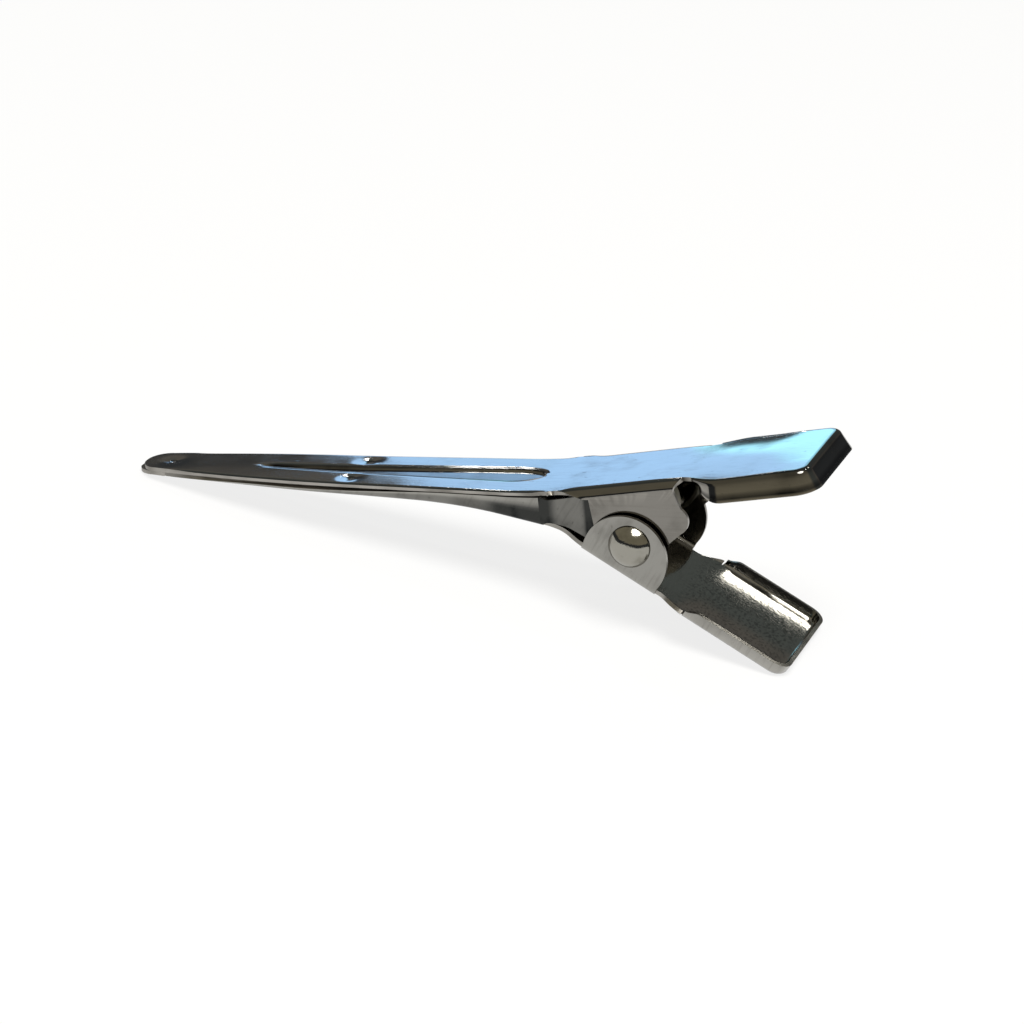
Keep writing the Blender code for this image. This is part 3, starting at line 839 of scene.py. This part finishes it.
stations = tip_rows(lower, jaw_half)
nose = steps([lower_start + TIP_ROUND, WALL_FRONT], PLATE_PITCH)
stations += [(along, jaw_half(along)) for along in nose[1:-1]]
wall_rows = []
for along in walls:
    section = wall_section(along)
    stations.append((along, jaw_half(along) - section[-1][0]))
    wall_rows.append(lower.fold(along, jaw_half(along) - section[-1][0], section))
lower.skin(wall_rows)
for along in steps([WALL_REAR, flap_front], PLATE_PITCH)[1:-1]:
    stations.append((along, wall_half + (flare_half - wall_half) * ramp(along, WALL_REAR, flap_front)))
stations += [(along, flare_half) for along in flap]
neck_rows = []
for along in neck:
    section = neck_section(along)
    stations.append((along, neck_half(along) - section[-1][0]))
    neck_rows.append(lower.fold(along, neck_half(along) - section[-1][0], section))
lower.skin(neck_rows)
stations += [(along, LOWER_TRAY_HALF - lower_reach) for along in lower_tray]
stations += tray_corner(*stations[-1])
shares = spread(0.0, 1.0, JAW_COLUMNS)
rows = []
for along, half in stations:
    rows.append([lower.point(along, half * share, 0.0, DARK_LOWER_PLATE) for share in shares])
lower.skin(rows)

wall_end = path_at(lower_path, WALL_REAR - lower_start)[0].x
tail = []
for x in steps([wall_end, TAIL_REAR_X], PLATE_PITCH):
    side = jaw_half(WALL_REAR) - TAIL_TUCK * ramp(x, wall_end, EAR_FRONT)
    place, heading = path_over(lower_path, x)
    slit = SLIT * ramp(x, wall_end, wall_end + SLIT_EASE)
    foot = place.y + WALL_BEND / math.cos(heading) * TAIL_FOOT_SHARE + slit
    heights = spread(foot, jaw_ceiling(x) - slit, TAIL_ROWS)
    # The tail carries the same painted shade as the walls.
    tail.append([lower.spot(x, side, height, between(DARK_WALL, x)) for height in heights])
lower.skin(tail)

# Painted shade on the flaps and their folds.
flap_section = folded([(FLAP_BEND, QUARTER_TURN)], None, [(0.0, DARK_LOWER_PLATE), (1.0, DARK_FLAP)])
lower.skin([lower.fold(along, flare_half, flap_section) for along in flap])
outline = [(along, fold_above) for along in reversed(flap)]
side_angle = math.asin((fold_above - FLAP_CENTRE.y) / FLAP_RADIUS)
turns = spread(math.pi - side_angle, side_angle, FLAP_STEPS)[1:-1]
outline += [FLAP_CENTRE + pointing(angle) * FLAP_RADIUS for angle in turns]
lower.pierced_flap(outline, FLAP_HALF, LOWER_DROP, DARK_FLAP)


def finger_rim_section(along):
    """Rim of the finger tray: its front corner is cut low and round."""
    depth = LOWER_TRAY_DEPTH - FINGER_RIM_RISE * (1 - ramp(along, LOWER_TRAY_FRONT, FINGER_RIM_FULL))
    return folded([LOWER_TRAY_BEND], depth, DARK_TRAY_RIM)


def finger_rim_half(along):
    """Half-width over the rim of the finger tray."""
    return LOWER_TRAY_HALF - lower_reach + finger_rim_section(along)[-1][0]


end_half = LOWER_TRAY_HALF - lower_reach - TRAY_CORNER
end_sides = [end_half * share for share in spread(1.0, 0.0, JAW_COLUMNS)[1:]]
lower.tray_rim(lower_tray, end_sides, finger_rim_half, finger_rim_section, FINGER_RIM_SKEW)

# The tray's floor, by where its sides, front and rear fade out, and the wear and the hollow on it.
BRUSHED_ACROSS = (4200.0, 420.0, 420.0)
TRAY_FLOOR_SIDES = (0.0049, 0.0045)
TRAY_FLOOR_FRONT = (0.0175, 0.0195)
TRAY_FLOOR_REAR = (0.0274, 0.0270)
SPECKS = (4400.0, 4400.0, 4400.0)
SPECKED = (0.50, 0.62)
SPECK_DARK = 0.45
TRAY_DISH = 18.0
TRAY_DISH_FRONT = (0.0175, 0.0205)


def dished_tray(place):
    """Finger tray pressed slightly hollow across and speckled by wear: its dark specks and its height."""
    level = place.axis("X")
    across = place.axis("Y")
    aside = across.maths("ABSOLUTE", across)
    on_floor = aside.rise(*TRAY_FLOOR_SIDES) * level.rise(*TRAY_FLOOR_FRONT) * level.rise(*TRAY_FLOOR_REAR)
    specks = along_sheet(place, 0.0, SPECKS).noise(detail=3.0).rise(*SPECKED)
    return SPECK_DARK * specks * on_floor, TRAY_DISH * across * across * level.rise(*TRAY_DISH_FRONT)


lower_nickel = nickel_plate(
    "brushed_nickel_plate", STAND_ANGLE - LOWER_DROOP, bright=(0.39, 0.38, 0.35), dull=(0.19, 0.18, 0.16),
    grain=BRUSHED_ACROSS, polish=0.07, wave_height=0.000016, peel_height=0.000006, struck=dished_tray,
)
lower_lever = lower.finish("lower_lever_pressing", lower_nickel, cut_edge)
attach(lower_lever, "lower_body")
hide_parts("lower_lever")


# Spring: one strip of dark spring steel, bent to a C around the rivet and slipped in between the levers.
# Its arms lie just inside the two plates and push them apart, which keeps the jaws shut.
# It is held by the levers alone; the real one bends as they are squeezed, but here it has one fixed shape.
SPRING_GAP = 0.00015
SPRING_THICK = 0.0003
SPRING_HALF = 0.0019
SPRING_RADIUS = 0.0026
SPRING_ARM = 0.0022
SPRING_SECTIONS = 97
SPRING_COLUMNS = 7
DRAWN_LINES = (500.0, 9000.0, 500.0)
SPRING_WORN = (0.50, 0.75)
SPRING_DARK = (0.30, 0.295, 0.24, 1.0)
SPRING_BRIGHT = (0.40, 0.385, 0.31, 1.0)
SPRING_METALLIC = 0.5
SPRING_ROUGH = 0.28
LINE_ROUGH = 0.15
LINE_HEIGHT = 0.000002

inset = SHEET + SPRING_GAP + SPRING_THICK / 2
lower_up = pointing(QUARTER_TURN - LOWER_DROOP)
upper_up = pointing(QUARTER_TURN + UPPER_TILT)
below = SPRING_RADIUS - (LOWER_DROP - inset)
above = UPPER_RISE - inset - SPRING_RADIUS
twist = lower_up.x * upper_up.y - lower_up.y * upper_up.x
across_both = Vector((below * upper_up.y - above * lower_up.y, above * lower_up.x - below * upper_up.x))
spring_centre = across_both / twist
spring_turn = math.pi + UPPER_TILT + LOWER_DROOP


def start_tree(name, sizes):
    """Empty geometry tree with an input for each size: the tree, its inputs by name and its output socket."""
    tree = bpy.data.node_groups.new(name, "GeometryNodeTree")
    for size in sizes:
        tree.interface.new_socket(size, in_out="INPUT", socket_type="NodeSocketFloat")
    tree.interface.new_socket("Piece", in_out="OUTPUT", socket_type="NodeSocketGeometry")
    given = tree.nodes.new("NodeGroupInput")
    made = tree.nodes.new("NodeGroupOutput")
    return tree, {size: Wire(tree, given.outputs[size]) for size in sizes}, made.inputs["Piece"]


def end_tree(shape, material, socket):
    """Close a tree: join what meets, shade it smooth, make it real and give it its material."""
    shape = shape.node("GeometryNodeMergeByDistance", {}, {"Geometry": shape, "Distance": JOIN_DISTANCE})
    shape = shape.node("GeometryNodeSetShadeSmooth", {}, {"Geometry": shape})
    shape = shape.node("GeometryNodeRealizeInstances", {}, {"Geometry": shape})
    shape.node("GeometryNodeSetMaterial", {}, {"Geometry": shape, "Material": material}).into(socket)


def grow(name, tree, sizes, material):
    """Plain mesh piece in its place, made by a tree at the given sizes."""
    holder = put(name, bpy.data.meshes.new(name))
    modifier = holder.modifiers.new("shape", "NODES")
    modifier.node_group = tree
    for socket in tree.interface.items_tree:
        if socket.in_out == "INPUT":
            modifier[socket.identifier] = sizes[socket.name]
    bpy.context.view_layer.update()
    graph = bpy.context.evaluated_depsgraph_get()
    data = bpy.data.meshes.new_from_object(holder.evaluated_get(graph))
    bpy.data.objects.remove(holder)
    mesh = bmesh.new()
    mesh.from_mesh(data)
    bmesh.ops.recalc_face_normals(mesh, faces=mesh.faces)
    mesh.transform(stand)
    mesh.to_mesh(data)
    mesh.free()
    data.materials.clear()
    data.materials.append(material)
    return put(name, data)


def spring_steel(name):
    """Spring strip: dark and satin, with drawing lines along it and a little wear."""
    material, shader, place = start_metal(name)
    lines = along_sheet(place, 0.0, DRAWN_LINES).noise(detail=2.0)
    wear = along_sheet(place, 0.0, SMUDGES).noise(detail=3.0).rise(*SPRING_WORN)
    wear.blend(SPRING_DARK, SPRING_BRIGHT).into(shader.inputs["Base Color"])
    shader.inputs["Metallic"].default_value = SPRING_METALLIC
    rough = SPRING_ROUGH + LINE_ROUGH * lines
    rough.into(shader.inputs["Roughness"])
    height = LINE_HEIGHT * lines
    height.bump(shader)
    return material


spring_sizes = {
    "Arm": SPRING_ARM,
    "Bend Radius": SPRING_RADIUS,
    "Bend Angle": spring_turn,
    "Start Angle": -LOWER_DROOP,
    "Width": SPRING_HALF * 2,
    "Centre X": spring_centre.x,
    "Centre Z": spring_centre.y,
}
spring_tree, size, spring_output = start_tree("bent_strip", spring_sizes)
length = size["Arm"] * 2 + size["Bend Radius"] * size["Bend Angle"]
strip = length.node("GeometryNodeMeshGrid", {}, {
    "Size X": length,
    "Size Y": size["Width"],
    "Vertices X": SPRING_SECTIONS,
    "Vertices Y": SPRING_COLUMNS,
})
flat = strip.node("GeometryNodeInputPosition", {}, {})
past_arm = flat.axis("X") + length / 2 - size["Arm"]
bent = past_arm.node("ShaderNodeClamp", {}, {
    "Value": past_arm / size["Bend Radius"],
    "Min": 0.0,
    "Max": size["Bend Angle"],
})
heading = bent + size["Start Angle"]
straight = past_arm - bent * size["Bend Radius"]
sine = heading.maths("SINE", heading)
cosine = heading.maths("COSINE", heading)
curled = flat.node("ShaderNodeCombineXYZ", {}, {
    "X": size["Centre X"] + size["Bend Radius"] * sine + straight * cosine,
    "Y": flat.axis("Y"),
    "Z": size["Centre Z"] - size["Bend Radius"] * cosine + straight * sine,
})
strip = strip.node("GeometryNodeSetPosition", {}, {"Geometry": strip, "Position": curled})
dark_steel = spring_steel("dark_spring_strip")
end_tree(strip, dark_steel, spring_output)
spring = grow("closing_spring", spring_tree, spring_sizes, dark_steel)
thickness = spring.modifiers.new("strip", "SOLIDIFY")
thickness.thickness = SPRING_THICK
thickness.offset = 0.0
round_edges(spring, EDGE_ROUND, EDGE_SEGMENTS, SHARP_EDGE, False)
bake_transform(spring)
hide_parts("spring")


# Rivet: one turned pin of plated steel through both flaps and both ears, with a domed head at each end.
# The second head is formed from its own shank, so it can't come apart again.
# The lower lever's flaps sit close under its heads, and the ears turn on its shank.
PIN_RADIUS = 0.00085
HEAD_RADIUS = 0.00168
HEAD_HEIGHT = 0.00092
HEAD_GAP = 0.00006
HEAD_ROUND = 0.00008
HEAD_SEGMENTS = 3
HEAD_SHARP_EDGE = math.radians(40)
SHANK_SHARE = 0.2
HEAD_SHARE = 0.3
PROFILE_POINTS = 81
ROUND_POINTS = 73
DENTS = (1100.0, 1100.0, 1100.0)
DENT_HEIGHT = 0.000034
TOOL_RINGS = 52000.0
RING_HEIGHT = 0.0000005
DULL_PATCHES = (800.0, 800.0, 800.0)
DULLED = (0.45, 0.75)
RIVET_BRIGHT = (0.30, 0.29, 0.255, 1.0)
RIVET_DULL = (0.20, 0.19, 0.16, 1.0)
RIVET_ROUGH = 0.10
DULL_ROUGH = 0.10

seat = FLAP_HALF + HEAD_GAP
dome_radius = (HEAD_RADIUS ** 2 + HEAD_HEIGHT ** 2) / (2 * HEAD_HEIGHT)
dome_centre = seat + HEAD_HEIGHT - dome_radius
rivet_sizes = {
    "Pin Radius": PIN_RADIUS,
    "Seat": seat,
    "Dome Radius": dome_radius,
    "Dome Centre": dome_centre,
    "Dome Angle": math.atan2(HEAD_RADIUS, seat - dome_centre),
}
rivet_tree, size, rivet_output = start_tree("domed_rivet", rivet_sizes)
sheet = size["Seat"].node("GeometryNodeMeshGrid", {}, {
    "Size X": 2 * math.pi,
    "Size Y": 2.0,
    "Vertices X": ROUND_POINTS,
    "Vertices Y": PROFILE_POINTS,
})
flat = sheet.node("GeometryNodeInputPosition", {}, {})
around = flat.axis("X")
profile = flat.axis("Y")
outward = profile.maths("ABSOLUTE", profile)


def share_of(value, start, end):
    """Straight rise from 0 to 1 between two values."""
    share = (value - start) / (end - start)
    return share.node("ShaderNodeClamp", {}, {"Value": share, "Min": 0.0, "Max": 1.0})


on_shank = share_of(outward, 0.0, SHANK_SHARE)
under_head = share_of(outward, SHANK_SHARE, HEAD_SHARE)
over_dome = share_of(outward, HEAD_SHARE, 1.0)
dome_angle = size["Dome Angle"] * (1.0 - over_dome)
dome_out = size["Dome Radius"] * dome_angle.maths("SINE", dome_angle)
radius = size["Pin Radius"] * (1.0 - under_head) + dome_out * under_head
rise = size["Dome Centre"] - size["Seat"] + size["Dome Radius"] * dome_angle.maths("COSINE", dome_angle)
end_side = profile.maths("SIGN", profile)
turned = flat.node("ShaderNodeCombineXYZ", {}, {
    "X": radius * around.maths("COSINE", around),
    "Y": end_side * (size["Seat"] * on_shank + rise),
    "Z": radius * around.maths("SINE", around),
})
sheet = sheet.node("GeometryNodeSetPosition", {}, {"Geometry": sheet, "Position": turned})


def rivet_steel(name):
    """Plated rivet: faint rings from the forming tool on the domes, and small dents."""
    material, shader, place = start_metal(name)
    centred = place.node("ShaderNodeMapping", {}, {"Vector": place, "Location": tuple(-pivot)})
    level = centred.axis("X")
    upright = centred.axis("Z")
    squared = level * level + upright * upright
    reach = squared.maths("SQRT", squared)
    rings = reach.maths("SINE", reach * TOOL_RINGS)
    dents = along_sheet(place, 0.0, DENTS).noise(detail=2.0)
    dull = along_sheet(place, 0.0, DULL_PATCHES).noise(detail=3.0).rise(*DULLED)
    dull.blend(RIVET_BRIGHT, RIVET_DULL).into(shader.inputs["Base Color"])
    rough = RIVET_ROUGH + DULL_ROUGH * dull
    rough.into(shader.inputs["Roughness"])
    height = RING_HEIGHT * rings + DENT_HEIGHT * dents
    height.bump(shader)
    return material


plated_steel = rivet_steel("plated_rivet_steel")
end_tree(sheet, plated_steel, rivet_output)
rivet = grow("pivot_rivet_pin", rivet_tree, rivet_sizes, plated_steel)
round_edges(rivet, HEAD_ROUND, HEAD_SEGMENTS, HEAD_SHARP_EDGE, True)
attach(rivet, "lower_body")
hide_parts("pivot_rivet")


# Floor: a wide sheet of plain white card that the clip stands on.
# It shows near white to the eye and in the metal, and keeps the soft shadow under the clip.
FLOOR_HALF = 2.0
FLOOR_COLOUR = (0.88, 0.88, 0.88, 1.0)
FLOOR_GLOW = 0.80

corners = [(-FLOOR_HALF, -FLOOR_HALF, 0.0), (FLOOR_HALF, -FLOOR_HALF, 0.0),
           (FLOOR_HALF, FLOOR_HALF, 0.0), (-FLOOR_HALF, FLOOR_HALF, 0.0)]
data = bpy.data.meshes.new("white_card")
data.from_pydata(corners, [], [(0, 1, 2, 3)])
card = bpy.data.materials.new("white_card")
card.use_nodes = True
card.node_tree.nodes.clear()
card_root = Wire(card.node_tree)
paper = card_root.node("ShaderNodeBsdfDiffuse", {}, {"Color": FLOOR_COLOUR})
glow = card_root.node("ShaderNodeEmission", {}, {"Color": (1.0, 1.0, 1.0, 1.0), "Strength": 1.0})
seen = card_root.node("ShaderNodeLightPath", {}, {}, "Is Camera Ray")
mirrored = card_root.node("ShaderNodeLightPath", {}, {}, "Is Glossy Ray")
through = card_root.node("ShaderNodeLightPath", {}, {}, "Is Transmission Ray")
shown = FLOOR_GLOW * card_root.maths("MINIMUM", seen + mirrored + through, 1.0)
mixed = card_root.node("ShaderNodeMixShader", {}, {0: shown, 1: paper, 2: glow})
output = card.node_tree.nodes.new("ShaderNodeOutputMaterial")
mixed.into(output.inputs["Surface"])
data.materials.append(card)
floor = put("white_card", data)


# Room light: a dim room with a pale blue window low behind the clip on the left, brighter at its right.
# A broad lamp overhead gives the soft shadow, a panel behind gives the streak on the lower tray,
# and two small lamps give the points of light on the bends.
UP = (0.0, 0.0, 1.0)
BACK = (0.0, 1.0, 0.0)
WINDOW_LEFT = math.radians(-28.3)
WINDOW_SUNNY = math.radians(-24.3)
WINDOW_RIGHT = math.radians(-18)
WINDOW_LEFT_EDGE = (-0.003, 0.006)
WINDOW_SUNNY_EDGE = (-0.004, 0.008)
WINDOW_RIGHT_EDGE = (0.02, -0.02)
WINDOW_TOP = (0.36, 0.30)
WINDOW_SILL = (0.06, 0.09)
BEHIND_EDGE = (0.0, 0.3)
CEILING_EDGE = (0.30, 0.40)
FOOT_EDGE = (0.19, 0.235)
WINDOW_BLUE = (0.74, 1.24, 1.95, 1.0)
WINDOW_BRIGHT = (0.95, 2.05, 2.6, 1.0)
BACK_WALL = (0.16, 0.15, 0.135, 1.0)
CEILING = (0.125, 0.14, 0.135, 1.0)
FRONT_OF_ROOM = (0.36, 0.33, 0.25, 1.0)
FOOT_OF_ROOM = (0.05, 0.055, 0.06, 1.0)

world = bpy.data.worlds.new("studio")
bpy.context.scene.world = world
world.use_nodes = True
sky = Wire(world.node_tree)
direction = sky.node("ShaderNodeTexCoord", {}, {}, "Generated")


def facing(towards, start, end):
    """Soft mask over the directions that point some way."""
    inputs = {0: direction, 1: towards}
    amount = direction.node("ShaderNodeVectorMath", {"operation": "DOT_PRODUCT"}, inputs, "Value")
    return amount.rise(start, end)


def right_of(azimuth, start, end):
    """Soft mask over the directions to the right of an azimuth, which is counted from straight behind."""
    return facing((math.cos(azimuth), -math.sin(azimuth), 0.0), start, end)


low = facing(UP, *WINDOW_TOP) * facing(UP, *WINDOW_SILL)
behind = facing(BACK, *BEHIND_EDGE)
window = low * behind * right_of(WINDOW_LEFT, *WINDOW_LEFT_EDGE) * right_of(WINDOW_RIGHT, *WINDOW_RIGHT_EDGE)
glass = right_of(WINDOW_SUNNY, *WINDOW_SUNNY_EDGE).blend(WINDOW_BLUE, WINDOW_BRIGHT)
high = facing(UP, *CEILING_EDGE).blend(BACK_WALL, CEILING)
room = behind.blend(FRONT_OF_ROOM, high)
room = facing(UP, *FOOT_EDGE).blend(FOOT_OF_ROOM, room)
lit = window.blend(room, glass)
background = world.node_tree.nodes["Background"]
lit.into(background.inputs["Color"])


def lamp(name, azimuth, height, distance, width, power, colour):
    """Round lamp aimed at the clip. Azimuth, from straight behind to the right, and height are in degrees."""
    light = bpy.data.lights.new(name, "AREA")
    light.shape = "DISK"
    light.size = width
    light.energy = power
    light.color = colour
    turn = math.radians(azimuth)
    lift = math.radians(height)
    aim = Vector((math.sin(turn) * math.cos(lift), math.cos(turn) * math.cos(lift), math.sin(lift)))
    holder = put(name, light)
    holder.location = pivot + aim * distance
    holder.rotation_euler = aim.to_track_quat("Z", "Y").to_euler()


lamp("panel_lamp", azimuth=12, height=43, distance=0.6, width=0.10, power=0.18, colour=(1.0, 0.97, 0.90))
lamp("spot_lamp", azimuth=25, height=64, distance=0.6, width=0.035, power=0.20, colour=(1.0, 1.0, 1.0))
lamp("glint_lamp", azimuth=-31, height=20.5, distance=0.6, width=0.016, power=0.02, colour=(1.0, 1.0, 1.0))
lamp("top_lamp", azimuth=150, height=70, distance=0.7, width=0.40, power=5.0, colour=(1.0, 0.99, 0.97))


# Camera: a short telephoto in front and above, towards the handles, at the turn of the photograph.
CAMERA_PLACE = Vector((0.072322, -0.216869, 0.105804))
CAMERA_FORWARD = Vector((-0.276843, 0.87128, -0.405252)).normalized()
CAMERA_UP = Vector((-0.254182, 0.340313, 0.905306))
CAMERA_LENS = 112.5
CAMERA_SENSOR = 36.0
CAMERA_NEAREST = 0.01

view = bpy.data.cameras.new("camera")
view.lens = CAMERA_LENS
view.sensor_width = CAMERA_SENSOR
view.clip_start = CAMERA_NEAREST
right = CAMERA_FORWARD.cross(CAMERA_UP).normalized()
upright = right.cross(CAMERA_FORWARD)
camera = put("camera", view)
turn = Matrix((right, upright, -CAMERA_FORWARD)).transposed()
camera.matrix_world = Matrix.Translation(CAMERA_PLACE) @ turn.to_4x4()
bpy.context.scene.camera = camera
bpy.context.scene.view_settings.view_transform = "Standard"
